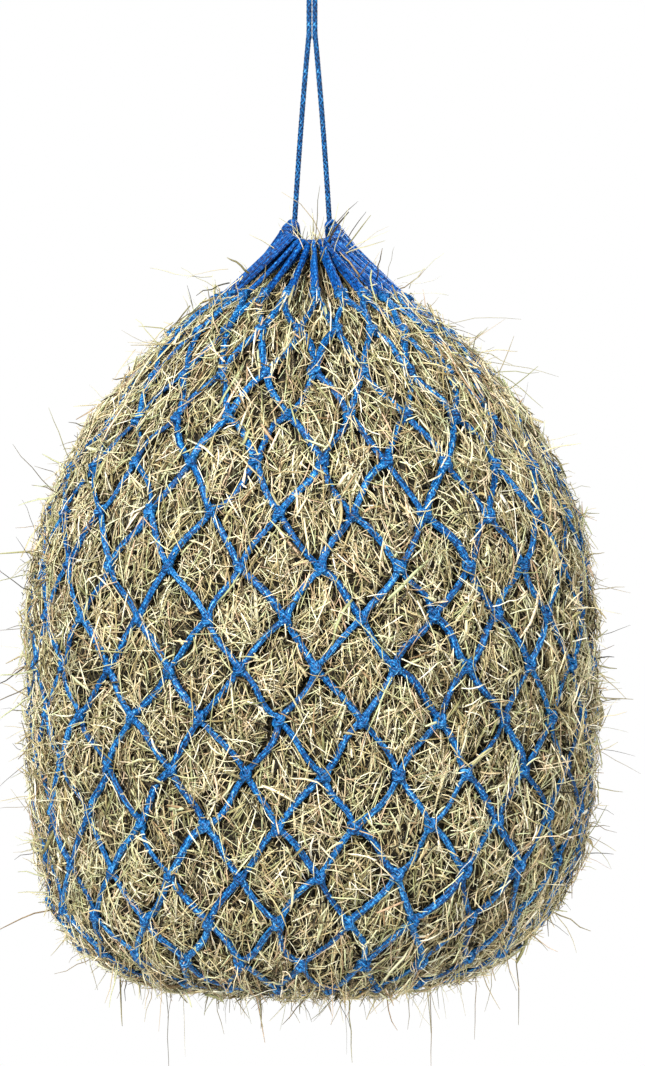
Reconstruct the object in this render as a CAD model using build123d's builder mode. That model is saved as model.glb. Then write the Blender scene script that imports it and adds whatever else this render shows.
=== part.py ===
from build123d import *
from math import asin, atan2, cos, hypot, pi, radians, sin, sqrt, tan
import os

# A hay net, filled and hanging. The origin is where the hook bears in the hanging loop.
# +Z is up, +X is to the right and the front of the net faces -Y. Everything is in millimetres.

# Cord and twine
CORD = 4.8  # braided draw cord
TWINE = 5.0  # netting twine as it lies in a mesh
DRAWN_TWINE = 3.6  # the same twine pulled thin where the meshes are gathered
KNOT = 11.2  # a sheet bend in the netting
CLEAR = 0.3  # room between soft pieces

# Netting
MESHES = 24  # meshes round the bag
MESH_SIDE = 50.4  # from knot to knot
FIRST_COLUMN = 1.7  # degrees, the first knot's turn from the front
DEPTH_RATIO = 0.95  # depth of the bag over its width
WANDER = 2.0  # how far a hand-made row strays from level
SKEW = 0.9  # degrees that a knot strays sideways

# Half outline of the netting, from its first row of knots to the middle of the base: radius, height
NET_OUTLINE = [
    (79, -327),
    (136, -377),
    (181, -434),
    (212, -484),
    (228, -545),
    (235, -620),
    (233, -705),
    (225, -785),
    (205, -838),
    (168, -874),
    (110, -890),
    (24, -893),
]
NECK_FORWARD = 12.0  # the neck of the bag leans this far to the front
NECK_EASE = 130.0  # the lean is gone this far below the first knots
CORNER_LEFT = 11.0  # the base sits this far to the left
CORNER_HEIGHT = -770.0  # the bag starts to move left here
CORNER_EASE = 90.0  # and has moved all the way this far below

# Hanging loop, knot and neck
EYE_RADIUS = 11.0  # centre line, where it goes over a hook of 17 mm
EYE_HEIGHT = 50.0
EYE_FOOT = 4.0  # half the distance between the two legs at the knot
EYE_LIFT = 1.2  # the slanting cut ends of the legs clear the knot's top
EYE_LEG = 20.0  # the legs part at this height above the knot
EYE_LEG_BEND = 24.0
TOP_KNOT_HEIGHT = 18.0
TOP_KNOT_RADIUS = 8.5
TOP_KNOT_END = 6.4  # its radius at the top and the bottom
NECK_LENGTH = 30.0
PAIR = CORD / 2 + 0.05  # half the distance between two cords side by side
SWING_GAP = 3.3  # from the sideways pivot to the centre of each rounded cord end

# Mouth: the cord lies in a horseshoe that is open at the back
MOUTH_RADIUS = 23.0
MOUTH_END = 140.0  # degrees from the front to each end of the horseshoe
MOUTH_USED = 0.93  # the share of the horseshoe that carries loops
MOUTH_STEPS = 8
MOUTH_HEIGHT = -263.0  # where the strands leave it
MOUTH_DIP = 22.0  # its front hangs this much lower

# Base
BASE_RING_RADIUS = 20.0
BASE_RING_HEIGHT = -893.0
BASE_GATHER = 46.0  # no row of knots is made inside this radius

# Hay
HAY_INSET = 9.0  # the fill lies this far inside the netting's centre line
HAY_TOP_RADIUS = 22.0
HAY_TOP = -303.0
HAY_SHARES = (0.0, 0.1, 0.21, 0.33, 0.45, 0.57, 0.68, 0.76, 0.82, 0.88)  # its sections, along the outline
STALK = 1.6
STALK_CLEAR = 5.5  # from the fill to a stalk's slanting end
STRAY_STALKS = 60
STRAY_LENGTH = (14, 22)  # the shortest, and how much longer the longest may be
HANGING_STALKS = 14
HANGING_LENGTH = (40, 36)
HANGING_DROOP = 0.3
BASE_TURN = -810.0  # below this height the stalks start to point down
BASE_TURN_EASE = 60.0

os.makedirs("parts", exist_ok=True)


def ease(value):
    """A smooth step from 0 to 1."""
    value = min(max(value, 0.0), 1.0)
    return value * value * (3 - 2 * value)


def finish(part, name):
    """Label a finished piece and write it."""
    part.label = name
    export_step(part, f"parts/{name}.step")


def tangent_radii(points):
    """The radius of each corner of a route, from its shorter run and half its turn."""
    radii = []
    for before, corner, after in zip(points, points[1:], points[2:]):
        run_in = Vector(*corner) - Vector(*before)
        run_out = Vector(*after) - Vector(*corner)
        half_turn = radians(run_in.get_angle(run_out) / 2)
        radii.append(0.45 * min(run_in.length, run_out.length) / tan(half_turn))
    return radii


# ---- the surface that the netting lies on ----
with BuildLine(Plane.XZ) as outline:
    Spline(*NET_OUTLINE)
outline_edge = outline.edge()


def outline_at(distance):
    """Radius and height on the outline, a distance along it from the first knots."""
    point = outline_edge.position_at(distance, position_mode=PositionMode.LENGTH)
    return point.X, point.Z


def bag_centre(height):
    """Where the middle of the bag lies at a height: the neck leans forward and the base to the left."""
    forward = NECK_FORWARD * (1 - ease((NET_OUTLINE[0][1] - height) / NECK_EASE))
    left = CORNER_LEFT * ease((CORNER_HEIGHT - height) / CORNER_EASE)
    return -left, -forward


def on_bag(radius, height, angle):
    """A point on the bag, with the angle in degrees from the front, towards +X."""
    centre_x, centre_y = bag_centre(height)
    turn = radians(angle)
    return Vector(centre_x + radius * sin(turn), centre_y - DEPTH_RATIO * radius * cos(turn), height)


def knot_rows():
    """Each row's knots. The rows are as far apart as their meshes' sides allow."""
    rows = []
    distance = 0.0
    radius, height = outline_at(distance)
    while radius > BASE_GATHER:
        count = len(rows)
        knots = []
        for column in range(MESHES):
            angle = FIRST_COLUMN + (column + (count % 2) / 2) * 360 / MESHES
            turn = radians(angle)
            skewed = angle + SKEW * sin(3 * turn + 2.1 * count)
            stray = WANDER * sin(2 * turn + 1.3 * count)
            knot_radius, knot_height = outline_at(max(distance + stray, 0.0))
            knots.append(on_bag(knot_radius, knot_height, skewed))
        rows.append(knots)
        half_mesh = pi * radius / MESHES
        distance += sqrt(MESH_SIDE**2 - half_mesh**2)
        radius, height = outline_at(distance)
    return rows


rows = knot_rows()


# ---- draw cord: eye, knot, neck, strands and the horseshoe in the mouth ----
def cord_tube(points, name, rounded_start=False, rounded_end=False, radii=None):
    """A length of cord along a hand-set route, with a rounded end wherever it meets a joint."""
    with BuildPart() as cord:
        with BuildLine() as route:
            if len(points) == 2:
                Line(*points)
            else:
                FilletPolyline(*points, radius=radii or tangent_radii(points))
        path = route.wire()
        with BuildSketch(Plane(origin=path @ 0, z_dir=path % 0)):
            Circle(CORD / 2)
        sweep(path=path)
        for rounded, point in ((rounded_start, points[0]), (rounded_end, points[-1])):
            if rounded:
                with Locations(point):
                    Sphere(CORD / 2)
    bends = [round(radius, 1) for radius in radii or tangent_radii(points)]
    section_volume = pi * CORD**2 / 4 * path.length
    print(f"{name}: {path.length:.1f} long, bends {bends}, volume {cord.part.volume / section_volume:.3f} of its own")
    finish(cord.part, name)
    return path


eye_centre_height = CORD / 2 - EYE_RADIUS
eye_top = CORD / 2
knot_top = -EYE_HEIGHT
knot_bottom = knot_top - TOP_KNOT_HEIGHT
fore_aft_pivot = knot_bottom - CORD / 2 - CLEAR
side_pivot = fore_aft_pivot - NECK_LENGTH - SWING_GAP

eye_route = [
    (-EYE_FOOT, 0, knot_top + EYE_LIFT),
    (-EYE_RADIUS, 0, knot_top + EYE_LEG),
    (-EYE_RADIUS, 0, eye_top),
    (EYE_RADIUS, 0, eye_top),
    (EYE_RADIUS, 0, knot_top + EYE_LEG),
    (EYE_FOOT, 0, knot_top + EYE_LIFT),
]
eye_bend = EYE_RADIUS - 0.1  # all but a half circle over the hook
cord_tube(eye_route, "hanging_loop", radii=[EYE_LEG_BEND, eye_bend, eye_bend, EYE_LEG_BEND])

with BuildPart() as top_knot:
    with BuildSketch(Plane.XZ):
        with BuildLine():
            barrel = Spline(
                (TOP_KNOT_END, knot_bottom),
                (TOP_KNOT_RADIUS, (knot_top + knot_bottom) / 2),
                (TOP_KNOT_END, knot_top),
            )
            Polyline(barrel @ 1, (0, knot_top), (0, knot_bottom), barrel @ 0)
        make_face()
    revolve(axis=Axis.Z)
finish(top_knot.part, "top_knot")

mouth_turn = radians(MOUTH_END)
exit_x = MOUTH_RADIUS * sin(mouth_turn)
mouth_centre_y = MOUTH_RADIUS * cos(mouth_turn)


def on_mouth(angle):
    """A point on the tilted horseshoe, with the angle in degrees from the front."""
    turn = radians(angle)
    dip = MOUTH_DIP * (cos(turn) - cos(mouth_turn)) / (1 - cos(mouth_turn))
    return Vector(MOUTH_RADIUS * sin(turn), mouth_centre_y - MOUTH_RADIUS * cos(turn), MOUTH_HEIGHT - dip)


for side, hand in ((-1, "left"), (1, "right")):
    neck_top = (side * PAIR, 0, fore_aft_pivot)
    neck_foot = (side * PAIR, 0, fore_aft_pivot - NECK_LENGTH)
    cord_tube([neck_top, neck_foot], f"neck_cord_{hand}", True, True)
    strand_top = (side * PAIR, 0, side_pivot - SWING_GAP)
    cord_tube([strand_top, (side * exit_x, 0, MOUTH_HEIGHT)], f"draw_cord_{hand}", True, True)

mouth_step = 2 * MOUTH_END / MOUTH_STEPS
mouth_corners = [on_mouth(-MOUTH_END + step * mouth_step) for step in range(MOUTH_STEPS + 1)]
first_run = (mouth_corners[1] - mouth_corners[0]).normalized() * (CORD / 2 + CLEAR)
last_run = (mouth_corners[-2] - mouth_corners[-1]).normalized() * (CORD / 2 + CLEAR)
mouth_corners[0] += first_run
mouth_corners[-1] += last_run
mouth_path = cord_tube([tuple(corner) for corner in mouth_corners], "mouth_cord")


# ---- meshes that are gathered on a cord: hairpins of doubled twine ----
def hairpin(knot, hold, along):
    """A doubled twine from a knot, over the cord at the hold point, and back to the same knot."""
    reach = (hold - knot).normalized()
    across = reach.cross(along).normalized()
    bend = (CORD + DRAWN_TWINE) / 2 + CLEAR
    half_gap = (DRAWN_TWINE + CLEAR) / 2
    start = knot + reach * (KNOT / 2 + CLEAR)
    distance = (hold - start).length
    spread = asin(bend / hypot(distance, half_gap)) - atan2(half_gap, distance)
    touch_out = across * (bend * cos(spread)) - reach * (bend * sin(spread))
    touch_in = across * (-bend * cos(spread)) - reach * (bend * sin(spread))
    with BuildPart() as loop:
        with BuildLine() as route:
            Line(start + across * half_gap, hold + touch_out)
            ThreePointArc(hold + touch_out, hold + reach * bend, hold + touch_in)
            Line(hold + touch_in, start - across * half_gap)
        path = route.wire()
        with BuildSketch(Plane(origin=path @ 0, z_dir=path % 0)):
            Circle(DRAWN_TWINE / 2)
        sweep(path=path)
    return loop.part


def gathered(knots, hold_of):
    """One hairpin for each knot of a row. hold_of gives the place on the cord and the cord's direction."""
    loops = []
    for column, knot in enumerate(knots):
        angle = ((column + 0.5) * 360 / MESHES + 180) % 360 - 180
        hold, along = hold_of(angle)
        loops.append(hairpin(knot, hold, along))
    return loops


def mouth_hold(angle):
    last_loop = 180 - 0.5 * 360 / MESHES
    place = 0.5 + 0.5 * MOUTH_USED * angle / last_loop
    return mouth_path @ place, mouth_path % place


base_x, base_y = bag_centre(BASE_RING_HEIGHT)
with BuildPart() as base_ring:
    with Locations((base_x, base_y, BASE_RING_HEIGHT)):
        Torus(BASE_RING_RADIUS, CORD / 2)
finish(base_ring.part, "base_ring")


def base_hold(angle):
    turn = radians(angle)
    outward = Vector(sin(turn), -cos(turn), 0)
    return Vector(base_x, base_y, BASE_RING_HEIGHT) + outward * BASE_RING_RADIUS, outward.cross(Vector(0, 0, 1))


finish(Part(children=gathered(rows[0], mouth_hold)), "mouth_loops")
finish(Part(children=gathered(rows[-1], base_hold)), "base_loops")


# ---- netting: rows of knots, and the courses of mesh sides between them ----
def mesh_side(upper, lower):
    """Where a side of a mesh lies: its plane at the upper knot, and its length between the knots."""
    run = lower - upper
    room = KNOT / 2 + CLEAR
    start = upper + run.normalized() * room
    return Plane(origin=start, z_dir=run), run.length - 2 * room


for number, row in enumerate(rows, start=1):
    with BuildPart() as knots:
        with Locations(*row):
            Sphere(KNOT / 2)
    finish(knots.part, f"knot_row_{number:02d}")

for number, (upper_row, lower_row) in enumerate(zip(rows, rows[1:]), start=1):
    step_back = number % 2
    sides = []
    for column, upper in enumerate(upper_row):
        for lower in (lower_row[column - step_back], lower_row[(column + 1 - step_back) % MESHES]):
            place, length = mesh_side(upper, lower)
            with BuildPart(place) as side_part:
                Cylinder(TWINE / 2, length, align=(Align.CENTER, Align.CENTER, Align.MIN))
            sides.append(side_part.part)
    finish(Part(children=sides), f"net_course_{number:02d}")


# ---- hay ----
def inset_at(distance):
    """Radius and height of the hay's own outline, inside the netting."""
    point = outline_edge.position_at(distance, position_mode=PositionMode.LENGTH)
    along = outline_edge.tangent_at(distance, position_mode=PositionMode.LENGTH)
    return point.X + HAY_INSET * along.Z, point.Z - HAY_INSET * along.X


hay_sections = [(HAY_TOP_RADIUS, HAY_TOP)]
for share in HAY_SHARES:
    hay_sections.append(inset_at(share * outline_edge.length))

with BuildPart() as hay_fill:
    for radius, height in hay_sections:
        centre_x, centre_y = bag_centre(height)
        with BuildSketch(Plane(origin=(centre_x, centre_y, height))):
            Ellipse(radius, DEPTH_RATIO * radius)
    loft()
finish(hay_fill.part, "hay_fill")
print("hay", round(hay_fill.part.volume / 1e6, 2), "litres, centre", hay_fill.part.center(CenterOf.MASS))


def stalk(knot, next_knot, out_length, droop):
    """A stalk that sticks out between two knots of a row, through the middle of a mesh."""
    middle = (knot + next_knot) * 0.5
    centre_x, centre_y = bag_centre(middle.Z)
    outward = Vector(middle.X - centre_x, middle.Y - centre_y, 0).normalized()
    under_base = ease((BASE_TURN - middle.Z) / BASE_TURN_EASE)
    normal = (outward * (1 - under_base) + Vector(0, 0, -under_base)).normalized()
    direction = (normal + Vector(0, 0, -droop)).normalized()
    start = middle - normal * (HAY_INSET - STALK_CLEAR)
    length = HAY_INSET + out_length
    with BuildPart(Plane(origin=start, z_dir=direction)) as one:
        Cylinder(STALK / 2, length, align=(Align.CENTER, Align.CENTER, Align.MIN))
    return one.part


# Steps of 5, 7, 11 and 17 that share no factor with the counts scatter the stalks without repeats
stalks = []
shortest, extra = STRAY_LENGTH
for count in range(STRAY_STALKS):
    row = rows[2 + (5 * count) % (len(rows) - 3)]
    column = (7 * count) % MESHES
    out_length = shortest + (11 * count) % extra
    stalks.append(stalk(row[column], row[(column + 1) % MESHES], out_length, 0.1 * (count % 5)))
shortest, extra = HANGING_LENGTH
for count in range(HANGING_STALKS):
    row = rows[-4 + count % 3]
    column = (5 * count) % MESHES
    out_length = shortest + (17 * count) % extra
    stalks.append(stalk(row[column], row[(column + 1) % MESHES], out_length, HANGING_DROOP))
finish(Part(children=stalks), "stray_stalks")
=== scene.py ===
import math

import bmesh
import bpy
import numpy as np
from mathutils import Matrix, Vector


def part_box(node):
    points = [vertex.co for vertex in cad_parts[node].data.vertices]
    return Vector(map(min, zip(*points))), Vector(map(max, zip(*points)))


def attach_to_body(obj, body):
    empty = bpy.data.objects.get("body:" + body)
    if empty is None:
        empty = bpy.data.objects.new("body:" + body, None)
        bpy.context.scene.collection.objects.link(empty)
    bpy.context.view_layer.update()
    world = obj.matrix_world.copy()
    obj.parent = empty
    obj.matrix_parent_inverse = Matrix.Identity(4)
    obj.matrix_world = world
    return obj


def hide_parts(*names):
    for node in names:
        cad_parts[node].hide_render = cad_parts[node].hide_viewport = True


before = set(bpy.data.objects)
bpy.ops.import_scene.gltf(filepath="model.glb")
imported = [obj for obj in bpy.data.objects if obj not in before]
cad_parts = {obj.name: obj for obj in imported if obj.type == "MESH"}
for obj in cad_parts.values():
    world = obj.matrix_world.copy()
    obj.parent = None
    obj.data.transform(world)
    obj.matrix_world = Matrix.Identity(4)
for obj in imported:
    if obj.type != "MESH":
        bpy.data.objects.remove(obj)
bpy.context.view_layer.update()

chance = np.random.default_rng(24)


# ---- Studio ------------------------------------------------------------------------------------
# The net hangs in a white studio, lit by a soft lamp high on the left, a weaker one on the right,
# one behind and the white room itself. The pale floor is a good way below it.

CAMERA_AWAY = 2.6
VIEW_HEIGHT = 0.8954
VIEW_CENTRE = (0.0088, -0.5216)
SENSOR = 24.0
FLOOR_HEIGHT = -1.55
FLOOR_SIZE = 5.0
BAG_MIDDLE = (0, 0, -0.6)
ROOM_LIGHT = 0.22  # the room is this bright as a light, and plain white as a backdrop


def linear(hex_colour):
    """An sRGB hex colour as linear red, green, blue and alpha."""
    parts = [int(hex_colour[k : k + 2], 16) / 255 for k in (1, 3, 5)]
    return [p / 12.92 if p <= 0.04045 else ((p + 0.055) / 1.055) ** 2.4 for p in parts] + [1.0]


def add(tree, kind, inputs=None, **settings):
    """Add a node with its settings. An input is a value, or a socket to link from."""
    node = tree.nodes.new(kind)
    for name, value in settings.items():
        setattr(node, name, value)
    for name, value in (inputs or {}).items():
        if isinstance(value, bpy.types.NodeSocket):
            tree.links.new(value, node.inputs[name])
        else:
            node.inputs[name].default_value = value
    return node


def new_material(name):
    """A material, its node tree and its Principled shader."""
    material = bpy.data.materials.new(name)
    material.use_nodes = True
    shader = material.node_tree.nodes["Principled BSDF"]
    return material, material.node_tree, shader


def add_lamp(name, place, size, power):
    """A square soft lamp that faces the middle of the bag."""
    data = bpy.data.lights.new(name, "AREA")
    data.size = size
    data.energy = power
    lamp = bpy.data.objects.new(name, data)
    lamp.location = place
    lamp.rotation_euler = (Vector(BAG_MIDDLE) - Vector(place)).to_track_quat("-Z", "Y").to_euler()
    bpy.context.collection.objects.link(lamp)


camera_data = bpy.data.cameras.new("camera")
camera_data.sensor_fit = "VERTICAL"
camera_data.sensor_height = SENSOR
camera_data.lens = SENSOR * CAMERA_AWAY / VIEW_HEIGHT
camera = bpy.data.objects.new("camera", camera_data)
camera.location = (VIEW_CENTRE[0], -CAMERA_AWAY, VIEW_CENTRE[1])
camera.rotation_euler = (math.pi / 2, 0, 0)
bpy.context.collection.objects.link(camera)
bpy.context.scene.camera = camera
bpy.context.scene.view_settings.view_transform = "Standard"

add_lamp("key_lamp", (-1.0, -2.1, 0.7), size=0.5, power=132)
add_lamp("fill_lamp", (1.9, -1.7, -0.1), size=1.0, power=40)
add_lamp("back_lamp", (0.8, 1.9, 0.8), size=1.5, power=50)

world = bpy.data.worlds.new("white_room")
world.use_nodes = True
room = world.node_tree.nodes["Background"]
room.inputs["Color"].default_value = linear("#ffffff")
seen = add(world.node_tree, "ShaderNodeLightPath")
strength = add(world.node_tree, "ShaderNodeMapRange", {
    "Value": seen.outputs["Is Camera Ray"], "To Min": ROOM_LIGHT, "To Max": 1.0})
world.node_tree.links.new(strength.outputs["Result"], room.inputs["Strength"])
bpy.context.scene.world = world

floor_mesh = bpy.data.meshes.new("floor")
half = FLOOR_SIZE / 2
floor_corners = [
    (-half, -half, FLOOR_HEIGHT), (half, -half, FLOOR_HEIGHT),
    (half, half, FLOOR_HEIGHT), (-half, half, FLOOR_HEIGHT),
]
floor_mesh.from_pydata(floor_corners, [], [(0, 1, 2, 3)])
floor = bpy.data.objects.new("floor", floor_mesh)
bpy.context.collection.objects.link(floor)
floor_paint, _, floor_shader = new_material("floor_paint")
floor_shader.inputs["Base Color"].default_value = linear("#f4f3f0")
floor_shader.inputs["Roughness"].default_value = 0.8
floor_mesh.materials.append(floor_paint)


# ---- Draw cord ---------------------------------------------------------------------------------
# One rope of blue polypropylene, braided round from eight flat yarns with no core. It runs from
# the eye over the hook, through an overhand knot and down either side to the mouth of the net.

CORD = 0.0048
CORD_LAY = 0.0215  # one full turn of a yarn
YARN_WIDE = 0.00125  # half its width
YARN_THICK = 0.00058  # half its thickness
YARN_WEAVE = 0.00034  # how far it rises over the next yarn and sinks under it
YARN_STEP = 0.0011
YARN_CORNERS = 8
YARNS_EACH_WAY = 4


def smooth_line(points):
    """The points of a smooth open line, read from a NURBS spline with the given points to steer it."""
    data = bpy.data.curves.new("route", "CURVE")
    data.dimensions = "3D"
    data.resolution_u = 40
    spline = data.splines.new("NURBS")
    spline.points.add(len(points) - 1)
    for place, point in zip(spline.points, points):
        place.co = (*point, 1)
    spline.order_u = 3
    spline.use_endpoint_u = True
    route = bpy.data.objects.new("route", data)
    line = bpy.data.meshes.new_from_object(route)
    found = np.array([vertex.co[:] for vertex in line.vertices])
    bpy.data.objects.remove(route)
    bpy.data.meshes.remove(line)
    return found


def unit(vectors):
    """The same directions, each one long."""
    return vectors / np.maximum(np.linalg.norm(vectors, axis=-1, keepdims=True), 1e-9)


def spaced(line, step, closed=False):
    """The same line with points an even step apart."""
    if closed:
        line = np.vstack([line, line[:1]])
    along = np.concatenate([[0], np.cumsum(np.linalg.norm(np.diff(line, axis=0), axis=1))])
    count = max(int(round(along[-1] / step)), 4) + 1
    stops = np.linspace(0, along[-1], count)
    even = np.stack([np.interp(stops, along, line[:, axis]) for axis in range(3)], axis=1)
    return (even[:-1], stops[:-1], along[-1]) if closed else (even, stops, along[-1])


def carried_frame(line, closed=False):
    """Two directions across a line that turn with it but don't spin round it."""
    if closed:
        ahead = unit(np.roll(line, -1, axis=0) - np.roll(line, 1, axis=0))
    else:
        ahead = unit(np.gradient(line, axis=0))
    first = np.cross(ahead[0], (0.13, 0.97, 0.2))
    side = [first / np.linalg.norm(first)]
    for direction in ahead[1:]:
        carried = side[-1] - direction * np.dot(side[-1], direction)
        side.append(carried / np.linalg.norm(carried))
    side = np.array(side)
    return ahead, side, np.cross(ahead, side)


def swept(lines, side, up, wide, thick, corners, closed=False, tag=None):
    """Tubes along many lines of the same number of points, as points, faces and two sets of UVs.
    The first UV is metres along and the share of a turn round; the second is each tube's own tag."""
    count, stations = lines.shape[:2]
    wide = np.broadcast_to(wide, (count, stations))[..., None, None]
    thick = np.broadcast_to(thick, (count, stations))[..., None, None]
    turn = np.linspace(0, 2 * math.pi, corners, endpoint=False)[None, None, :, None]
    ring = side[:, :, None] * wide * np.cos(turn) + up[:, :, None] * thick * np.sin(turn)
    points = (lines[:, :, None] + ring).reshape(-1, 3)
    index = np.arange(count * stations * corners).reshape(count, stations, corners)
    near, far = (index, np.roll(index, -1, axis=1)) if closed else (index[:, :-1], index[:, 1:])
    quads = np.stack([near, np.roll(near, -1, axis=2), np.roll(far, -1, axis=2), far], axis=-1)
    step = np.linalg.norm(np.diff(lines, axis=1), axis=2)
    along = np.concatenate([np.zeros((count, 1)), np.cumsum(step, axis=1)], axis=1)
    if closed:
        along = np.concatenate([along, along[:, -1:] + step[:, :1]], axis=1)
    turn_uv = np.arange(corners + 1) / corners
    u_near = np.broadcast_to(along[:, :-1, None], quads.shape[:3])
    u_far = np.broadcast_to(along[:, 1:, None], quads.shape[:3])
    v_low = np.broadcast_to(turn_uv[:-1], quads.shape[:3])
    v_high = np.broadcast_to(turn_uv[1:], quads.shape[:3])
    uv = np.stack([u_near, v_low, u_near, v_high, u_far, v_high, u_far, v_low], axis=-1)
    tag = np.zeros((count, 2)) if tag is None else tag
    quad_tag = np.broadcast_to(tag[:, None, None, None, :], (*quads.shape, 2))
    caps = np.zeros((0, corners), int) if closed else np.concatenate([index[:, 0, ::-1], index[:, -1]])
    cap_tag = np.broadcast_to(np.concatenate([tag, tag])[: len(caps), None, :], (len(caps), corners, 2))
    return {
        "points": points,
        "quads": quads.reshape(-1, 4),
        "quad_uv": uv.reshape(-1, 2),
        "quad_tag": quad_tag.reshape(-1, 2),
        "caps": caps,
        "cap_tag": cap_tag.reshape(-1, 2),
    }


def make_piece(name, bundles, material):
    """One smooth object from bundles of swept tubes."""
    points, corners, starts, uvs, tags, base = [], [], [], [], [], 0
    first_corner = 0
    for bundle in bundles:
        for faces, face_uv, face_tag in (
            (bundle["quads"], bundle["quad_uv"], bundle["quad_tag"]),
            (bundle["caps"], np.zeros((bundle["caps"].size, 2)), bundle["cap_tag"]),
        ):
            if not len(faces):
                continue
            corners.append((faces + base).ravel())
            starts.append(first_corner + np.arange(len(faces)) * faces.shape[1])
            first_corner += faces.size
            uvs.append(face_uv)
            tags.append(face_tag)
        points.append(bundle["points"])
        base += len(bundle["points"])
    points, corners, starts = np.concatenate(points), np.concatenate(corners), np.concatenate(starts)
    mesh = bpy.data.meshes.new(name)
    mesh.vertices.add(len(points))
    mesh.vertices.foreach_set("co", points.astype(np.float32).ravel())
    mesh.loops.add(len(corners))
    mesh.loops.foreach_set("vertex_index", corners.astype(np.int32))
    mesh.polygons.add(len(starts))
    mesh.polygons.foreach_set("loop_start", starts.astype(np.int32))
    mesh.update(calc_edges=True)
    for layer, values in (("lay", uvs), ("tag", tags)):
        uv_layer = mesh.uv_layers.new(name=layer)
        uv_layer.data.foreach_set("uv", np.concatenate(values).astype(np.float32).ravel())
    mesh.polygons.foreach_set("use_smooth", np.ones(len(starts), bool))
    mesh.materials.append(material)
    piece = bpy.data.objects.new(name, mesh)
    bpy.context.collection.objects.link(piece)
    return piece


def attach(piece, body, node):
    """Make a piece ride on a body and stand for a CAD node."""
    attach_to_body(piece, body)
    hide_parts(node)


def braid(line, closed=False):
    """Eight flat yarns round a line, four each way, each over one and under the next."""
    even, stops, length = spaced(line, YARN_STEP, closed)
    ahead, side, up = carried_frame(even, closed)
    lay = length / max(round(length / CORD_LAY), 1) if closed else CORD_LAY
    radius = CORD / 2 - YARN_THICK - YARN_WEAVE
    picks = np.cos(2 * math.pi * YARNS_EACH_WAY * stops / lay)
    yarns = []
    for way in (1, -1):
        for yarn in range(YARNS_EACH_WAY):
            share = yarn / YARNS_EACH_WAY
            turn = way * 2 * math.pi * stops / lay + 2 * math.pi * share
            outward = side * np.cos(turn)[:, None] + up * np.sin(turn)[:, None]
            place = even + outward * (radius + way * YARN_WEAVE * picks)[:, None]
            flat = np.cross(outward, ahead)
            tag = np.array([[0.5 + way / 4, share]])
            yarns.append(swept(
                place[None], flat[None], outward[None], YARN_WIDE, YARN_THICK, YARN_CORNERS, closed, tag))
    return yarns


def calc(tree, operation, *values):
    """The result of one calculation on values and sockets."""
    return add(tree, "ShaderNodeMath", dict(enumerate(values)), operation=operation).outputs[0]


def colour_ramp(tree, factor, colours):
    """A ramp of colours, each with its place from 0 to 1."""
    ramp = add(tree, "ShaderNodeValToRGB", {"Fac": factor})
    elements = ramp.color_ramp.elements
    for element, (place, colour) in zip((elements[0], elements[1]), (colours[0], colours[-1])):
        element.position = place
        element.color = linear(colour)
    for place, colour in colours[1:-1]:
        elements.new(place).color = linear(colour)
    return ramp.outputs["Color"]


def tube_coordinates(tree):
    """Metres along a tube, the share of a turn round it, and the two parts of its own tag."""
    found = []
    for layer in ("lay", "tag"):
        uv = add(tree, "ShaderNodeUVMap", uv_map=layer)
        parts = add(tree, "ShaderNodeSeparateXYZ", {"Vector": uv.outputs["UV"]})
        found += [parts.outputs["X"], parts.outputs["Y"]]
    return found


def polypropylene(name, deep, main, light, painted_glint, pick=None):
    """Polypropylene tape, slit and braided: a strong blue with fine lines along each yarn, where the
    film has split into fibres, and a waxy shine. Without a pick length, the tube is one bare yarn,
    with a painted highlight on its outer face and painted shade on its inner face; with one, it is a
    whole braid of picks, each painted lighter where it rises and darker where it dips. The last
    colour is a painted glint, which the brightest fibres reach."""
    material, tree, shader = new_material(name)
    along, round_share, way, lot = tube_coordinates(tree)
    if pick is None:
        # painted highlight on the yarn's outer face and painted shade on its inner face
        painted_crown_light = calc(tree, "SINE", calc(tree, "MULTIPLY", round_share, 2 * math.pi))
        relief_and_painted_light, base = 0.52, -1.46
    else:
        picks = calc(tree, "MULTIPLY", along, 2 * math.pi / pick)
        turns = calc(tree, "MULTIPLY", round_share, 4 * math.pi)
        one_way = calc(tree, "SINE", calc(tree, "ADD", picks, turns))
        other_way = calc(tree, "SINE", calc(tree, "SUBTRACT", picks, turns))
        # each pick painted lighter where it rises and darker where it dips; the same tone also drives the
        # bump
        painted_crown_light = calc(tree, "MULTIPLY", one_way, other_way)
        relief_and_painted_light, base = 0.17, -1.02
    fibres_at = add(tree, "ShaderNodeCombineXYZ", {
        "X": calc(tree, "MULTIPLY", along, 160.0),
        "Y": calc(tree, "MULTIPLY", round_share, 14.0),
        "Z": calc(tree, "MULTIPLY", way, 37.0),
    })
    fibres = add(tree, "ShaderNodeTexNoise", {
        "Vector": fibres_at.outputs[0], "Scale": 1.6, "Detail": 4.0, "Roughness": 0.65})
    speckle = calc(tree, "MULTIPLY_ADD", fibres.outputs["Fac"], 2.6, base)
    pattern_and_painted_light = calc(tree, "MULTIPLY_ADD", painted_crown_light, relief_and_painted_light, speckle)
    tone = calc(tree, "MULTIPLY_ADD", lot, 0.16, pattern_and_painted_light)
    # the last colour of the ramp is a painted glint
    colour = colour_ramp(tree, tone, ((0.05, deep), (0.38, main), (0.7, light), (0.97, painted_glint)))
    tree.links.new(colour, shader.inputs["Base Color"])
    bump = add(tree, "ShaderNodeBump", {"Height": tone, "Strength": 0.5, "Distance": 0.0005})
    tree.links.new(bump.outputs["Normal"], shader.inputs["Normal"])
    shader.inputs["Roughness"].default_value = 0.42
    shader.inputs["IOR"].default_value = 1.49
    shader.inputs["Specular IOR Level"].default_value = 0.22
    return material


# the last colour is a painted glint, and the bare yarns carry painted light and shade round them
cord_material = polypropylene("braided_polypropylene_cord", "#000c24", "#013e78", "#1b86c8", "#97dcf8")

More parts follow.
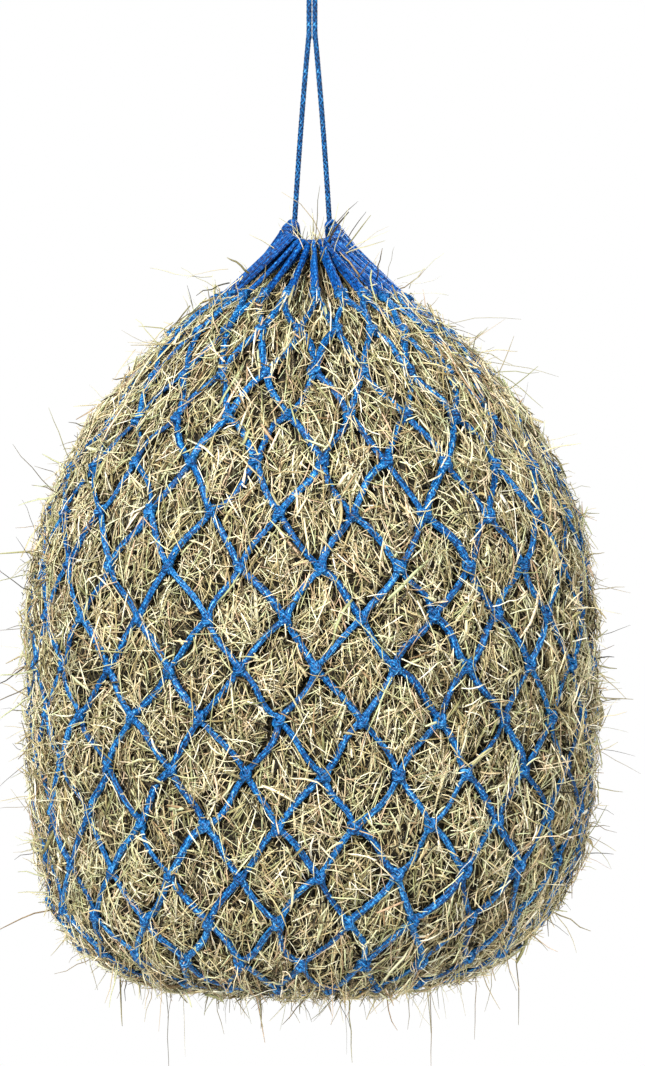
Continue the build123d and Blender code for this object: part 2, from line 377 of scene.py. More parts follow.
EYE_LOW = -0.0508
EYE_HIGH = 0.0024
EYE_OUT = 0.011
EYE_FOOT = 0.0034
EYE_PARTS = -0.030  # the legs of the eye are apart from here up
MOUTH_HEIGHT = -0.263
MOUTH_RADIUS = 0.023
MOUTH_END = math.radians(140)
MOUTH_DIP = 0.022
MOUTH_STEPS = 8
PAIR = 0.00245  # half the distance between two cords side by side
NECK_HIGH = -0.0620
NECK_MIDDLE = -0.087
CROSSING = -0.104  # where the two strands part
OVERLAP = 0.0025
STRAND_MIDDLE = (0.0095, -0.175)  # sideways, and the height

eye_points = [
    (-EYE_FOOT, 0, EYE_LOW), (-EYE_OUT, 0, EYE_PARTS), (-EYE_OUT, 0, EYE_HIGH),
    (EYE_OUT, 0, EYE_HIGH), (EYE_OUT, 0, EYE_PARTS), (EYE_FOOT, 0, EYE_LOW),
]
mouth_back = MOUTH_RADIUS * math.cos(MOUTH_END)
mouth_points = []
for step in range(MOUTH_STEPS + 1):
    turn = (2 * step / MOUTH_STEPS - 1) * MOUTH_END
    dip = MOUTH_DIP * (math.cos(turn) - math.cos(MOUTH_END)) / (1 - math.cos(MOUTH_END))
    mouth_points.append(
        (MOUTH_RADIUS * math.sin(turn), mouth_back - MOUTH_RADIUS * math.cos(turn), MOUTH_HEIGHT - dip))
exit_x = mouth_points[-1][0]
cord_runs = [("hanging_loop", "hanging_loop", eye_points), ("mouth_cord", "bag", mouth_points)]
for way, hand in ((-1, "left"), (1, "right")):
    neck_points = [(way * PAIR, 0, height) for height in (NECK_HIGH, NECK_MIDDLE, CROSSING - OVERLAP)]
    cord_runs.append((f"neck_cord_{hand}", "neck", neck_points))
    strand_points = [
        (way * PAIR, 0, CROSSING + OVERLAP),
        (way * STRAND_MIDDLE[0], 0, STRAND_MIDDLE[1]),
        (way * exit_x, 0, MOUTH_HEIGHT),
    ]
    cord_runs.append((f"draw_cord_{hand}", "strands", strand_points))

for node, body, points in cord_runs:
    line = smooth_line(points)
    piece = make_piece(f"braided_{node}", braid(line), cord_material)
    attach(piece, body, node)


# ---- Overhand knot -----------------------------------------------------------------------------
# The two strands are tied together in an overhand knot under the eye. Pulled tight, it is a lump
# of three interlocked turns of the same braided cord.

KNOT_TURN = 0.0026
KNOT_DEPTH = 0.9
KNOT_RISE = 0.0015  # it sits high, where it meets the eye
KNOT_STATIONS = 160
low, high = (np.array(corner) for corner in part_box("top_knot"))
knot_middle = (low + high) / 2 + np.array([0, 0, KNOT_RISE])
turn = np.linspace(0, 2 * math.pi, KNOT_STATIONS, endpoint=False)
trefoil = np.stack([
    np.sin(turn) + 2 * np.sin(2 * turn),
    -np.sin(3 * turn) * KNOT_DEPTH,
    np.cos(turn) - 2 * np.cos(2 * turn),
], axis=1)
top_knot = make_piece("tied_top_knot", braid(knot_middle + trefoil * KNOT_TURN, closed=True), cord_material)
attach(top_knot, "knot", "top_knot")


# ---- Netting -----------------------------------------------------------------------------------
# A bag of diamond meshes knotted by hand from flat-braided polypropylene twine, 24 meshes round.
# Each side of a mesh lies in a valley of the hay and each knot is a sheet bend pulled down hard.

TWINE_WIDE = 0.0029  # half its width
TWINE_THICK = 0.0019  # half its thickness
TWINE_SWELL = 0.045  # how much it swells and thins at each pick
TWINE_CORNERS = 10
SIDE_STATIONS = 17
SIDE_SWAY = 0.0023  # how far a side strays from the straight, as one arc
SIDE_WAVE = 0.0010  # and as an S
SIDE_LIFT = (0.0018, 0.0011)  # how far out its middle lies, and how much that varies
SIDE_LEAN = 0.35
SIDE_TWIST = 0.5
FIRST_COLUMN_EDGE = 4  # degrees to the left of the front, clear of any knot

# the last colour is a painted glint, and each pick is painted lighter where it rises
twine_material = polypropylene(
    "braided_polypropylene_twine", "#001028", "#02427f", "#2087c8", "#a6e0fa", pick=0.0054)


def islands(node):
    """The points of each separate solid in a CAD node."""
    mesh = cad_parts[node].data
    parent = list(range(len(mesh.vertices)))

    def find(member):
        while parent[member] != member:
            parent[member] = parent[parent[member]]
            member = parent[member]
        return member

    by_place = {}
    for vertex in mesh.vertices:
        key = tuple(round(value, 6) for value in vertex.co)
        parent[vertex.index] = by_place.setdefault(key, vertex.index)
    for edge in mesh.edges:
        first, second = (find(member) for member in edge.vertices)
        parent[first] = second
    groups = {}
    for vertex in mesh.vertices:
        groups.setdefault(find(vertex.index), []).append(vertex.co[:])
    return [np.array(group) for group in groups.values()]


row_names = sorted(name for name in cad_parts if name.startswith("knot_row_"))
course_names = sorted(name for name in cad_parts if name.startswith("net_course_"))
rows = []
for name in row_names:
    centres = np.array([(group.min(axis=0) + group.max(axis=0)) / 2 for group in islands(name)])
    middle = centres.mean(axis=0)
    angle = np.degrees(np.arctan2(centres[:, 0] - middle[0], middle[1] - centres[:, 1]))
    rows.append(centres[np.argsort((angle + FIRST_COLUMN_EDGE) % 360)])
rows = np.array(rows)
row_count, round_count = rows.shape[:2]

# which way is out at each knot
sideways = np.roll(rows, -1, axis=1) - np.roll(rows, 1, axis=1)
shifted = np.array([np.roll(row, -1, axis=0) if number % 2 else row for number, row in enumerate(rows)])
upward = -np.gradient((rows + shifted) / 2, axis=0)
outward = unit(np.cross(sideways, upward))
outward *= np.sign(np.sum(outward * (rows - rows.mean(axis=(0, 1))), axis=2, keepdims=True))


def twine_frames(lines, out):
    """Directions across and out of many lines, from a rough outward direction for each."""
    ahead = unit(np.gradient(lines, axis=1))
    out = unit(out - ahead * np.sum(out * ahead, axis=2, keepdims=True))
    return np.cross(out, ahead), out


swelling = TWINE_SWELL * np.cos(math.pi * np.arange(SIDE_STATIONS))[None]
for number, name in enumerate(course_names):
    upper, lower = rows[number], rows[number + 1]
    out_upper, out_lower = outward[number], outward[number + 1]
    starts, ends, outs = [], [], []
    for step in ((1, 0) if number % 2 == 0 else (0, -1)):
        starts.append(upper)
        ends.append(np.roll(lower, step, axis=0))
        outs.append((out_upper + np.roll(out_lower, step, axis=0)) / 2)
    starts, ends, outs = np.concatenate(starts), np.concatenate(ends), unit(np.concatenate(outs))
    share = np.linspace(0, 1, SIDE_STATIONS)[None, :, None]
    lines = starts[:, None] * (1 - share) + ends[:, None] * share
    belly = np.sin(math.pi * share)
    sway = chance.normal(0, SIDE_SWAY, (len(starts), 1, 1))
    wave = chance.normal(0, SIDE_WAVE, (len(starts), 1, 1)) * np.sin(2 * math.pi * share)
    lift = chance.normal(*SIDE_LIFT, (len(starts), 1, 1))
    across = np.cross(outs, unit(ends - starts))[:, None]
    lines = lines + outs[:, None] * belly * lift + across * (belly * sway + wave)
    side, up = twine_frames(lines, np.broadcast_to(outs[:, None], lines.shape))
    lean = chance.normal(0, SIDE_LEAN, (len(starts), 1, 1))
    lean = lean + chance.normal(0, SIDE_TWIST, (len(starts), 1, 1)) * (share - 0.5)
    side, up = side * np.cos(lean) + up * np.sin(lean), up * np.cos(lean) - side * np.sin(lean)
    fat = chance.uniform(0.88, 1.1, (len(starts), 1))
    tag = chance.uniform(0, 1, (len(starts), 2))
    wide, thick = TWINE_WIDE * (1 + swelling) * fat, TWINE_THICK * (1 - swelling) * fat
    sides = swept(lines, side, up, wide, thick, TWINE_CORNERS, tag=tag)
    piece = make_piece(f"twine_{name}", [sides], twine_material)
    attach(piece, "bag", name)


# ---- Sheet bends -------------------------------------------------------------------------------
# Each knot of the netting: a bight of the upper mesh, with the running twine taken round behind it
# and tucked under itself. Pulled tight it is two crossed turns and a locking turn round both.

TURN_RADIUS = 0.0034
TURN_THICK = 0.00225  # half its width
TURN_FLATNESS = 0.8
TURN_LEAN = 0.16
TURN_STATIONS = 18
TURN_CORNERS = 8
TURNS = (  # each turn's tilt, its length and width over its radius, and how far forward it lies
    (0.62, 1.5, 0.95, 0.0008),
    (-0.62, 1.5, 0.95, 0.0002),
    (1.57, 0.92, 1.25, 0.0006),
)

knot_turn = np.linspace(0, 2 * math.pi, TURN_STATIONS, endpoint=False)
for number, name in enumerate(row_names):
    place, out = rows[number], outward[number]
    level = unit(np.cross(np.array([0, 0, 1.0]), out) + 1e-6)
    rise = np.cross(out, level)
    bundles = []
    for tilt, long, wide, forward in TURNS:
        lean = tilt + chance.normal(0, TURN_LEAN, (round_count, 1))
        length_way = rise * np.cos(lean) + level * np.sin(lean)
        wide_way = level * np.cos(lean) - rise * np.sin(lean)
        size = TURN_RADIUS * chance.uniform(0.9, 1.1, (round_count, 1, 1))
        ring = (
            length_way[:, None] * np.cos(knot_turn)[None, :, None] * long * size
            + (wide_way * 0.55 + out * 0.8)[:, None] * np.sin(knot_turn)[None, :, None] * wide * size
        )
        lines = (place + out * forward)[:, None] + ring
        ahead = unit(np.roll(lines, -1, axis=1) - np.roll(lines, 1, axis=1))
        up = unit(ring - ahead * np.sum(ring * ahead, axis=2, keepdims=True))
        side = np.cross(up, ahead)
        tag = chance.uniform(0, 1, (round_count, 2))
        bundles.append(swept(
            lines, side, up, TURN_THICK, TURN_THICK * TURN_FLATNESS, TURN_CORNERS, closed=True, tag=tag))
    piece = make_piece(f"tied_{name}", bundles, twine_material)
    attach(piece, "bag", name)


# ---- Gathered meshes ---------------------------------------------------------------------------
# The last meshes at either end are knitted long. At the mouth each is a hairpin of doubled twine
# that hangs on the draw cord; under the base the same hairpins are closed on a ring of cord.

DRAWN = 0.0021  # half the width of the drawn twine
LEG_STATIONS = 15
BEND_STATIONS = 10
BEND_RADIUS = CORD / 2 + DRAWN * 0.75
HALF_GAP = DRAWN * 0.55
LEG_START = 0.002  # this far from the middle of the knot
LEG_SPREAD = 0.0016  # the two legs part sideways at the knot
LEG_BOW = 0.0011
DRAWN_FLATNESS = 0.85
MOUTH_USED = 0.93  # the share of the mouth cord that carries loops

# the last colour is a painted glint, and each pick is painted lighter where it rises
drawn_material = polypropylene(
    "drawn_polypropylene_twine", "#001434", "#024088", "#126cb8", "#74c4f2", pick=0.0090)


def hairpins(knots, holds, alongs, outs):
    """Doubled twines from each knot, over the cord and back, side by side in the gather."""
    reach = unit(holds - knots)
    across = unit(np.cross(reach, alongs))
    across *= np.sign(np.sum(across * outs, axis=1, keepdims=True))
    beside = np.cross(reach, across)
    near = knots + reach * LEG_START
    legs = []
    for way in (1, -1):
        leg = []
        for share in np.linspace(0, 1, LEG_STATIONS):
            offset = HALF_GAP + (BEND_RADIUS - HALF_GAP) * share**2
            sideways = across * offset + beside * LEG_SPREAD * (1 - share)
            leg.append(near * (1 - share) + holds * share + way * sideways)
        legs.append(leg)
    bend = []
    for angle in np.linspace(0, math.pi, BEND_STATIONS)[1:-1]:
        bend.append(holds + across * BEND_RADIUS * math.cos(angle) + reach * BEND_RADIUS * math.sin(angle))
    lines = np.stack(legs[0] + bend + legs[1][::-1], axis=1)
    bow = np.sin(np.pi * np.linspace(0, 1, lines.shape[1]))[None, :, None]
    lines = lines + beside[:, None] * chance.normal(0, LEG_BOW, (len(knots), 1, 1)) * bow
    ahead = unit(np.gradient(lines, axis=1))
    side = unit(beside[:, None] - ahead * np.sum(beside[:, None] * ahead, axis=2, keepdims=True))
    up = np.cross(ahead, side)
    tag = chance.uniform(0, 1, (len(knots), 2))
    fat = chance.uniform(1.0, 1.25, (len(knots), 1))
    return swept(lines, side, up, DRAWN * fat, DRAWN * DRAWN_FLATNESS, TWINE_CORNERS, tag=tag)


even_mouth, _, _ = spaced(smooth_line(mouth_points), 0.0005)
angles = ((np.arange(round_count) + 0.5) / round_count + 0.5) % 1 - 0.5
share = 0.5 + MOUTH_USED * angles * round_count / (round_count - 1)
hold_index = np.clip((share * (len(even_mouth) - 1)).round().astype(int), 1, len(even_mouth) - 2)
mouth_holds = even_mouth[hold_index]
mouth_along = unit(even_mouth[hold_index + 1] - even_mouth[hold_index - 1])
mouth_out = unit(mouth_holds - mouth_holds.mean(axis=0) + np.array([0, 0, 0.004]))
mouth_pins = hairpins(rows[0], mouth_holds, mouth_along, mouth_out)
mouth_loops = make_piece("twine_mouth_loops", [mouth_pins], drawn_material)
attach(mouth_loops, "bag", "mouth_loops")

ring_low, ring_high = (np.array(corner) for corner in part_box("base_ring"))
ring_middle = (ring_low + ring_high) / 2
ring_radius = (ring_high[0] - ring_low[0]) / 2 - CORD / 2
ring_turn = angles * 2 * math.pi
ring_out = np.stack([np.sin(ring_turn), -np.cos(ring_turn), np.zeros(round_count)], axis=1)
base_holds = ring_middle + ring_out * ring_radius
base_along = np.cross(ring_out, (0, 0, 1.0))
down = np.broadcast_to(np.array([0, 0, -1.0]), base_holds.shape)
base_pins = hairpins(rows[-1], base_holds, base_along, down)
base_loops = make_piece("twine_base_loops", [base_pins], drawn_material)
attach(base_loops, "bag", "base_loops")

ring_line = ring_middle + ring_radius * np.stack([np.cos(turn), np.sin(turn), np.zeros(len(turn))], axis=1)
base_ring = make_piece("braided_base_ring", braid(ring_line, closed=True), cord_material)
attach(base_ring, "bag", "base_ring")


# ---- Hay ---------------------------------------------------------------------------------------
# Meadow hay, dried and pressed into the net by the armful, so that it swells into a pillow in each
# mesh. The heart of all the pillows is one closed, rough surface, coloured near black as painted
# shade for the shadow deep in the hay between the stalks.

PILLOW = 0.0075  # how far the hay swells out of a mesh
MOUTH_SWELL = np.array([-0.009, 0.001, 0.004, 0.006, PILLOW])  # and in the first rows from the mouth
SWELL_SHAPE = 0.6
VALLEY = 0.0016  # how far it is pressed in under the twine
HEART_DEPTH = 0.0075
HEART_GRID = 9
# the heart's two colours are near-black painted shade
HEART_PAINTED_SHADE_DARK = "#0f0b05"
HEART_PAINTED_SHADE_LIGHT = "#3a331f"
MOUTH_HAY_DROP = 0.012  # the hay ends this far below the mouth cord

# each mesh as four corners: top, right, bottom and left, with the way out at each
both = np.concatenate([rows, outward], axis=2)
mouth_ends = (mouth_holds + np.roll(mouth_holds, -1, axis=0)) / 2 - np.array([0, 0, MOUTH_HAY_DROP])
mouth_both = np.concatenate([mouth_ends, np.tile([0, 0, 1.0], (round_count, 1))], axis=1)
base_ends = (base_holds + np.roll(base_holds, -1, axis=0)) / 2
base_both = np.concatenate([base_ends, np.tile([0, 0, -1.0], (round_count, 1))], axis=1)
cells = [(mouth_both, np.roll(both[0], -1, axis=0), both[1], both[0])]
for number in range(row_count - 2):
    below = both[number + 1]
    if number % 2 == 0:
        right, left = below, np.roll(below, 1, axis=0)
    else:
        right, left = np.roll(below, -1, axis=0), below
    cells.append((both[number], right, both[number + 2], left))
cells.append((both[-2], both[-1], base_both, np.roll(both[-1], 1, axis=0)))
cells = np.array([np.stack(cell, axis=1) for cell in cells])
cell_rows = np.repeat(np.arange(len(cells)), round_count)
cells = cells.reshape(-1, 4, 6)
cell_swell = chance.uniform(0.65, 1.25, len(cells))
cell_tone = chance.normal(0, 0.045, len(cells))


def on_pillow(cell, s, t, height):
    """Points at s and t across a mesh, a height above its pillow of hay, and the way out there.
    The twine is where s or t is 0 or 1."""
    corners = cells[cell]
    s, t, height = s[..., None], t[..., None], height[..., None]
    while corners.ndim < s.ndim + 1:
        corners = corners[:, None]
    top, right, bottom, left = (corners[..., k, :] for k in range(4))
    flat = top * (1 - s) * (1 - t) + right * s * (1 - t) + left * (1 - s) * t + bottom * s * t
    out = unit(flat[..., 3:])
    room = np.clip(16 * s * (1 - s) * t * (1 - t), 0, 1)
    swell = MOUTH_SWELL[np.minimum(cell_rows[cell], len(MOUTH_SWELL) - 1)] * cell_swell[cell]
    while swell.ndim < room.ndim:
        swell = swell[:, None]
    return flat[..., :3] + out * (swell * room**SWELL_SHAPE - VALLEY + height), out


grid = np.linspace(0, 1, HEART_GRID)
s_grid, t_grid = (a.ravel() for a in np.meshgrid(grid, grid, indexing="ij"))
every = np.arange(len(cells))
s_all = np.broadcast_to(s_grid, (len(cells), s_grid.size))
t_all = np.broadcast_to(t_grid, (len(cells), t_grid.size))
heart_points, _ = on_pillow(every, s_all, t_all, np.full(s_all.shape, -HEART_DEPTH))
square = np.arange(HEART_GRID * HEART_GRID).reshape(HEART_GRID, HEART_GRID)
patch = np.stack([square[:-1, :-1], square[:-1, 1:], square[1:, 1:], square[1:, :-1]], axis=-1)
faces = (patch.reshape(-1, 4)[None] + every[:, None, None] * square.size).reshape(-1, 4)
heart_mesh = bpy.data.meshes.new("hay_heart")
heart_mesh.from_pydata(heart_points.reshape(-1, 3).tolist(), [], faces.tolist())
work = bmesh.new()
work.from_mesh(heart_mesh)
bmesh.ops.remove_doubles(work, verts=work.verts, dist=0.0004)
bmesh.ops.holes_fill(work, edges=[edge for edge in work.edges if edge.is_boundary], sides=0)
bmesh.ops.triangulate(work, faces=[face for face in work.faces if len(face.verts) > 4])
bmesh.ops.recalc_face_normals(work, faces=work.faces)
work.to_mesh(heart_mesh)
work.free()
heart_mesh.polygons.foreach_set("use_smooth", np.ones(len(heart_mesh.polygons), bool))
heart = bpy.data.objects.new("hay_heart", heart_mesh)
bpy.context.collection.objects.link(heart)

# the heart's material is painted shade, mottled by a rough noise
heart_material, heart_tree, heart_shader = new_material("hay_heart_painted_shade")
where = add(heart_tree, "ShaderNodeTexCoord")
matted = add(heart_tree, "ShaderNodeTexNoise", {
    "Vector": where.outputs["Object"], "Scale": 420.0, "Detail": 5.0, "Roughness": 0.7, "Distortion": 1.2})
heart_colour = colour_ramp(heart_tree, matted.outputs["Fac"], ((0.35, HEART_PAINTED_SHADE_DARK), (0.72, HEART_PAINTED_SHADE_LIGHT)))
heart_tree.links.new(heart_colour, heart_shader.inputs["Base Color"])
heart_bump = add(heart_tree, "ShaderNodeBump", {
    "Height": matted.outputs["Fac"], "Strength": 1.0, "Distance": 0.003})
heart_tree.links.new(heart_bump.outputs["Normal"], heart_shader.inputs["Normal"])
heart_shader.inputs["Roughness"].default_value = 0.9
heart_mesh.materials.append(heart_material)
attach(heart, "bag", "hay_fill")


# ---- Loose stalks ------------------------------------------------------------------------------
# The stalks that show: most lie along the swell of a pillow and tuck in under the twine, some cross
# over the twine, and many have an end that has sprung out. They are drawn as bent, flattened tubes.

MESH_SIDE = 0.050
STALK_STATIONS = 4
STALK_CORNERS = 3
STALK_TAPER = np.array([0.8, 1.0, 0.95, 0.5])
STALK_BEND = 0.22
STALK_KINKS = 0.008
STALK_SLOPE = 0.0021
STALK_TONE = (0.87, 0.22)  # how light it is at the top of the hay, and how much that varies
# how much darker a stalk is painted at the full depth, as painted shade
DEPTH_PAINTED_SHADE = 1.05
OVER_TWINE = 0.0058  # how high a stalk is lifted that crosses the twine
END_ROWS = (4, 14)  # more stalks cross it above the first of these rows and below the second
END_ROWS_MORE = 3.2
STEM_PIECES = 8
STEMS_EACH = 9900
BLADE_PIECES = 2
BLADES_EACH = 5000
HAY_TONES = (
    (0, "#1d170b"), (0.2, "#5f553e"), (0.4, "#a19878"), (0.6, "#cfc9ae"), (0.8, "#e9e5d3"), (1, "#fcfaf2"))
HAY_TINTS = ((0, "#c79c78"), (0.12, "#eed9bd"), (0.32, "#f1e2b0"), (0.58, "#fbf8ec"), (0.82, "#e2e5b8"))
STEM_GREEN = "#b9c48e"
BLADE_GREEN = "#9fae74"


def dried_hay(name, green):
    """Dried grass: straw and olive with brown and bleached stems among it. Each stalk has its own
    tone and tint, and lengthways veins and blotches where it has dried unevenly. Its tone also
    holds painted shade, darker the deeper the stalk lies in the hay."""
    material, tree, shader = new_material(name)
    along, round_share, brightness, lot = tube_coordinates(tree)
    blotch_at = add(tree, "ShaderNodeCombineXYZ", {
        "X": calc(tree, "MULTIPLY", along, 110.0),
        "Y": calc(tree, "MULTIPLY", round_share, 5.0),
        "Z": calc(tree, "MULTIPLY", lot, 61.0),
    })
    blotch = add(tree, "ShaderNodeTexNoise", {
        "Vector": blotch_at.outputs[0], "Scale": 1.0, "Detail": 3.0, "Roughness": 0.6})
    mottled = calc(tree, "MULTIPLY_ADD", blotch.outputs["Fac"], 0.5, -0.25)
    tone = calc(tree, "ADD", mottled, brightness)
    tinted = add(tree, "ShaderNodeMix", {
        0: 0.85,
        6: colour_ramp(tree, tone, HAY_TONES),
        7: colour_ramp(tree, lot, (*HAY_TINTS, (1, green))),
    }, data_type="RGBA", blend_type="MULTIPLY")
    tree.links.new(tinted.outputs[2], shader.inputs["Base Color"])
    shader.inputs["Roughness"].default_value = 0.62
    shader.inputs["IOR"].default_value = 1.45
    return material


def stalks_in_meshes(count, long, half_wide, flatness, deep, over, lift_share, lift_most):
    """Bent stalks lying in the meshes, down to a depth. over is the share that crosses the twine,
    and lift_share the share that has sprung out at one end, by lift_most at most."""
    corners = cells[:, :, :3]
    area = np.linalg.norm(np.cross(corners[:, 0] - corners[:, 2], corners[:, 1] - corners[:, 3]), axis=1)
    cell = chance.choice(len(cells), count, p=area / area.sum())
    s0, t0 = chance.uniform(0.02, 0.98, (2, count))
    heading = chance.uniform(0, 2 * math.pi, count)
    length = np.clip(chance.lognormal(math.log(long), 0.4, count), 0.3 * long, 2.4 * long)

    # a slight bend and a few kinks, turned to the stalk's heading
    along = np.linspace(-0.5, 0.5, STALK_STATIONS)[None] * length[:, None]
    bend = chance.normal(0, STALK_BEND, (count, 1)) * along**2 / length[:, None]
    bend = bend + chance.normal(0, STALK_KINKS, (count, STALK_STATIONS)) * length[:, None]
    ds = (np.cos(heading)[:, None] * along - np.sin(heading)[:, None] * bend) / MESH_SIDE
    dt = (np.sin(heading)[:, None] * along + np.cos(heading)[:, None] * bend) / MESH_SIDE

    # one that doesn't cross the twine is shortened to fit in its mesh
    end_row = (cell_rows[cell] < END_ROWS[0]) | (cell_rows[cell] > END_ROWS[1])
    crossing = chance.uniform(0, 1, count) < over * np.where(end_row, END_ROWS_MORE, 1.0)
    inside = np.ones(count)
    for start, change in ((s0, ds), (t0, dt)):
        most = np.where(change > 0, 0.985 - start[:, None], start[:, None] - 0.015)
        inside = np.minimum(inside, np.min(np.abs(most) / np.maximum(np.abs(change), 1e-6), axis=1))
    scale = np.where(crossing, 1.0, np.clip(inside, 0.12, 1.0))[:, None]
    s, t = s0[:, None] + ds * scale, t0[:, None] + dt * scale

    # its depth in the hay, its slope, and an end that springs out
    depth = chance.beta(1.3, 1.9, count) * deep
    height = -depth[:, None] + np.where(crossing, OVER_TWINE, 0.0)[:, None]
    slope = chance.normal(0, STALK_SLOPE, (count, 1))
    height = height + slope * np.linspace(-1, 1, STALK_STATIONS)[None]
    spring = np.linspace(0, 1, STALK_STATIONS)[None] ** 2
    lifted = chance.uniform(0, 1, count) < lift_share
    height = height + spring * np.where(lifted, chance.uniform(0.2, 1, count) * lift_most, 0.001)[:, None]
    height = height + chance.normal(0, 0.0003, (count, STALK_STATIONS))
    lines, out = on_pillow(cell, s, t, height)

    # rolled any way about its own length, and painted darker the deeper it lies, as painted shade
    ahead = unit(np.gradient(lines, axis=1))
    roll = chance.uniform(0, math.pi, (count, 1, 1))
    side = unit(np.cross(out, ahead))
    up = np.cross(ahead, side)
    side, up = side * np.cos(roll) + up * np.sin(roll), up * np.cos(roll) - side * np.sin(roll)
    wide = half_wide * chance.lognormal(0, 0.28, (count, 1)) * STALK_TAPER[None]
    # its own random tone, less painted shade for its depth
    tone = chance.normal(*STALK_TONE, count) - DEPTH_PAINTED_SHADE * depth / deep + cell_tone[cell]
    tag = np.stack([np.clip(tone, 0.02, 0.98), chance.uniform(0, 1, count)], axis=1)
    return swept(lines, side, up, wide, wide * flatness, STALK_CORNERS, tag=tag)


def hang_hay(name, bundles, material):
    """A piece of loose hay that moves with the bag."""
    piece = make_piece(name, bundles, material)
    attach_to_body(piece, "bag")
    return piece


stem_material = dried_hay("dried_hay_stems", STEM_GREEN)
blade_material = dried_hay("dried_hay_blades", BLADE_GREEN)
for number in range(STEM_PIECES):
    stems = stalks_in_meshes(STEMS_EACH, long=0.019, half_wide=0.00053, flatness=0.6, deep=0.0100,
                             over=0.15, lift_share=0.25, lift_most=0.009)
    piece = hang_hay(f"hay_stems_{number + 1}", [stems], stem_material)
    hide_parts("hay_fill")
for number in range(BLADE_PIECES):
    blades = stalks_in_meshes(BLADES_EACH, long=0.020, half_wide=0.0011, flatness=0.18, deep=0.0080,
                              over=0.13, lift_share=0.2, lift_most=0.008)
    piece = hang_hay(f"hay_blades_{number + 1}", [blades], blade_material)
    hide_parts("hay_fill")


# ---- Wisps -------------------------------------------------------------------------------------
# Single stalks that stand out of the net all round, fill and poke up through the mouth, and lie
# over the shoulders. The longest are where the design has its stray stalks.

WISP_ROOM = np.array([0.270, 0.258])  # no stalk reaches further sideways or to front and back
WISP_TAPER = np.array([1.0, 1.0, 0.95, 0.85, 0.7, 0.35])
WISP_FLATNESS = 0.6
LOWEST_AIM = -0.80  # stray stalks below this height point away from the middle line here
WISPS = 2600
WISP_DEPTH = 0.006
BASE_HEIGHT = -0.86  # wisps that start below this are kept short
BASE_WISP_LONGEST = 0.045
POKES = 50
POKE_RADIUS = 0.016
POKE_DEPTH = 0.035
POKE_WAY = np.array([0.3, -0.1, 1.0])
PLUG = 500
PLUG_RADIUS = 0.021
PLUG_LEVELS = (-0.030, -0.012)
TUFTS = (  # from and to which column of the net, how many stalks, and the longest
    (2, 8, 80, 0.065),
    (17, 23, 50, 0.05),
)


def free_stalks(starts, ways, lengths, half_wide, droop, wander):
    """Thin curved stalks from each start, which bend over under their own weight."""
    count = len(starts)
    share = np.linspace(0, 1, len(WISP_TAPER))[None, :, None]
    lengths = lengths[:, None, None]
    sideways = unit(np.cross(ways, chance.normal(0, 1, (count, 3))))[:, None]
    lines = starts[:, None] + ways[:, None] * lengths * share
    lines = lines + sideways * lengths * wander * chance.normal(0, 1, (count, 1, 1)) * share**2
    lines = lines - np.array([0, 0, 1.0]) * lengths * droop * share**2
    lines = lines + chance.normal(0, 0.0006, lines.shape)
    start = np.abs(starts[:, None, :2])
    beyond = np.maximum(np.abs(lines[..., :2]) - start, 1e-6)
    kept = np.clip((WISP_ROOM - start) / beyond, 0, 1).min(axis=(1, 2))
    lines = starts[:, None] + (lines - starts[:, None]) * kept[:, None, None]
    ahead = unit(np.gradient(lines, axis=1))
    side = unit(np.cross(ahead, chance.normal(0, 1, (count, 1, 3))))
    up = np.cross(ahead, side)
    wide = half_wide * chance.lognormal(0, 0.3, (count, 1)) * WISP_TAPER[None]
    tag = np.stack([np.clip(chance.normal(0.5, 0.25, count), 0, 1), chance.uniform(0, 1, count)], axis=1)
    return swept(lines, side, up, wide, wide * WISP_FLATNESS, STALK_CORNERS, tag=tag)


# one long stalk along each of the design's, which starts at the end nearer the bag's middle line
stray_starts, stray_ways, stray_lengths = [], [], []
for group in islands("stray_stalks"):
    middle = group.mean(axis=0)
    away = group[np.argmax(np.linalg.norm(group - middle, axis=1))]
    other = 2 * middle - away
    aim = np.array([0, 0, max(middle[2], LOWEST_AIM)])
    if np.linalg.norm(away - aim) < np.linalg.norm(other - aim):
        away, other = other, away
    stray_starts.append(other)
    stray_ways.append((away - other) / np.linalg.norm(away - other))
    stray_lengths.append(np.linalg.norm(away - other))
stray = free_stalks(np.array(stray_starts), np.array(stray_ways), np.array(stray_lengths),
                    half_wide=0.0006, droop=0.05, wander=0.08)
stray_piece = hang_hay("hay_stray_stalks", [stray], stem_material)
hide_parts("stray_stalks")

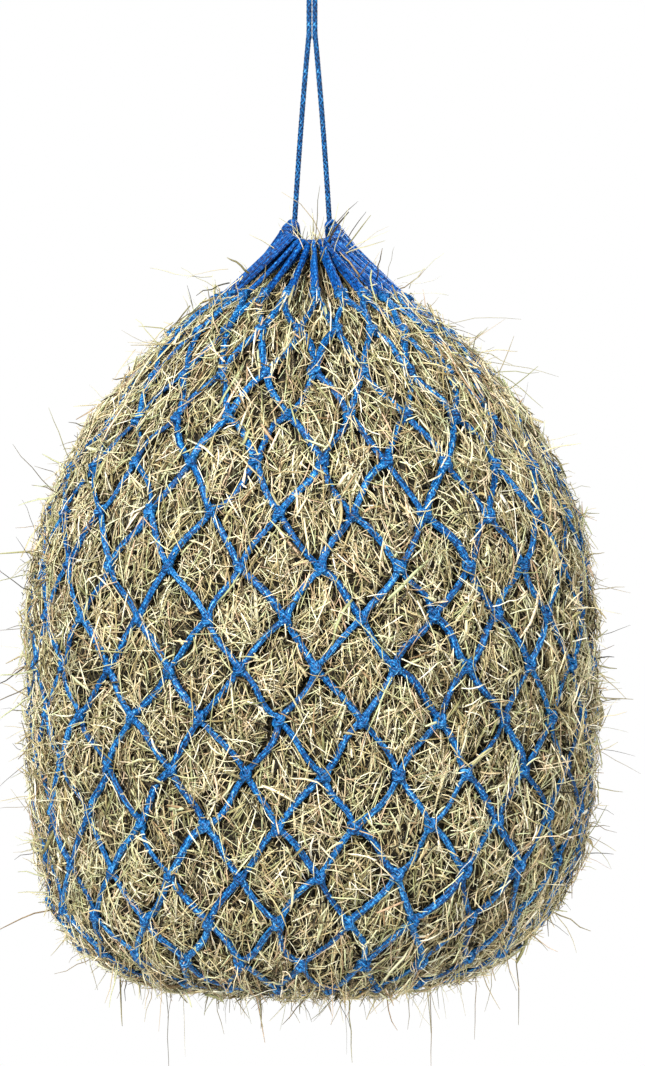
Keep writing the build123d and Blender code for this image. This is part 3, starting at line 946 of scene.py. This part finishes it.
cell = chance.integers(0, len(cells), WISPS)
s, t = chance.uniform(0.1, 0.9, (2, WISPS))
starts, out = on_pillow(cell, s, t, np.full(WISPS, -WISP_DEPTH))
ways = unit(out + chance.normal(0, 1.0, (WISPS, 3)))
lengths = chance.gamma(2.6, 0.0072, WISPS) + 0.009
lengths = np.where(starts[:, 2] < BASE_HEIGHT, np.minimum(lengths, BASE_WISP_LONGEST), lengths)
wisps = free_stalks(starts, ways, lengths, half_wide=0.0005, droop=0.08, wander=0.28)

# a few long ones that poke up out of the mouth
angle = chance.uniform(0, 2 * math.pi, POKES)
radius = POKE_RADIUS * np.sqrt(chance.uniform(0, 1, POKES))
mouth_middle = mouth_holds.mean(axis=0)
level = np.full(POKES, -POKE_DEPTH)
starts = mouth_middle + np.stack([radius * np.cos(angle), radius * np.sin(angle), level], axis=1)
ways = unit(POKE_WAY + chance.normal(0, 0.3, (POKES, 3)))
lengths = 0.03 + chance.gamma(3.0, 0.012, POKES)
pokes = free_stalks(starts, ways, lengths, half_wide=0.00055, droop=0.22, wander=0.25)

# short ones that fill the mouth, each lying towards its middle
angle = chance.uniform(0, 2 * math.pi, PLUG)
radius = PLUG_RADIUS * np.sqrt(chance.uniform(0, 1, PLUG))
level = chance.uniform(*PLUG_LEVELS, PLUG)
starts = mouth_middle + np.stack([radius * np.cos(angle), radius * np.sin(angle), level], axis=1)
ways = unit(chance.normal(0, 1, (PLUG, 3)) * np.array([1, 1, 0.45]))
outbound = np.sum(ways[:, :2] * (starts - mouth_middle)[:, :2], axis=1, keepdims=True) > 0
ways = np.where(outbound, -ways, ways)
lengths = chance.uniform(0.012, 0.03, PLUG)
plug = free_stalks(starts, ways, lengths, half_wide=0.0006, droop=0.1, wander=0.1)

# two handfuls that have come out of the mouth and lie over the shoulders
tufts = []
for first, last, count, longest in TUFTS:
    column = chance.integers(first, last, count)
    top, low = rows[0][column], rows[2][column]
    share = chance.uniform(-0.3, 0.9, (count, 1))
    starts = top * (1 - share) + low * share + outward[0][column] * chance.uniform(0, 0.009, (count, 1))
    starts = starts + chance.normal(0, 0.006, (count, 3))
    ways = unit(unit(low - top) + 0.1 * outward[0][column] + chance.normal(0, 0.75, (count, 3)))
    lengths = chance.uniform(0.025, longest, count)
    tufts.append(free_stalks(starts, ways, lengths, half_wide=0.0006, droop=0.12, wander=0.25))
hang_hay("hay_wisps", [wisps, pokes, plug, *tufts], stem_material)
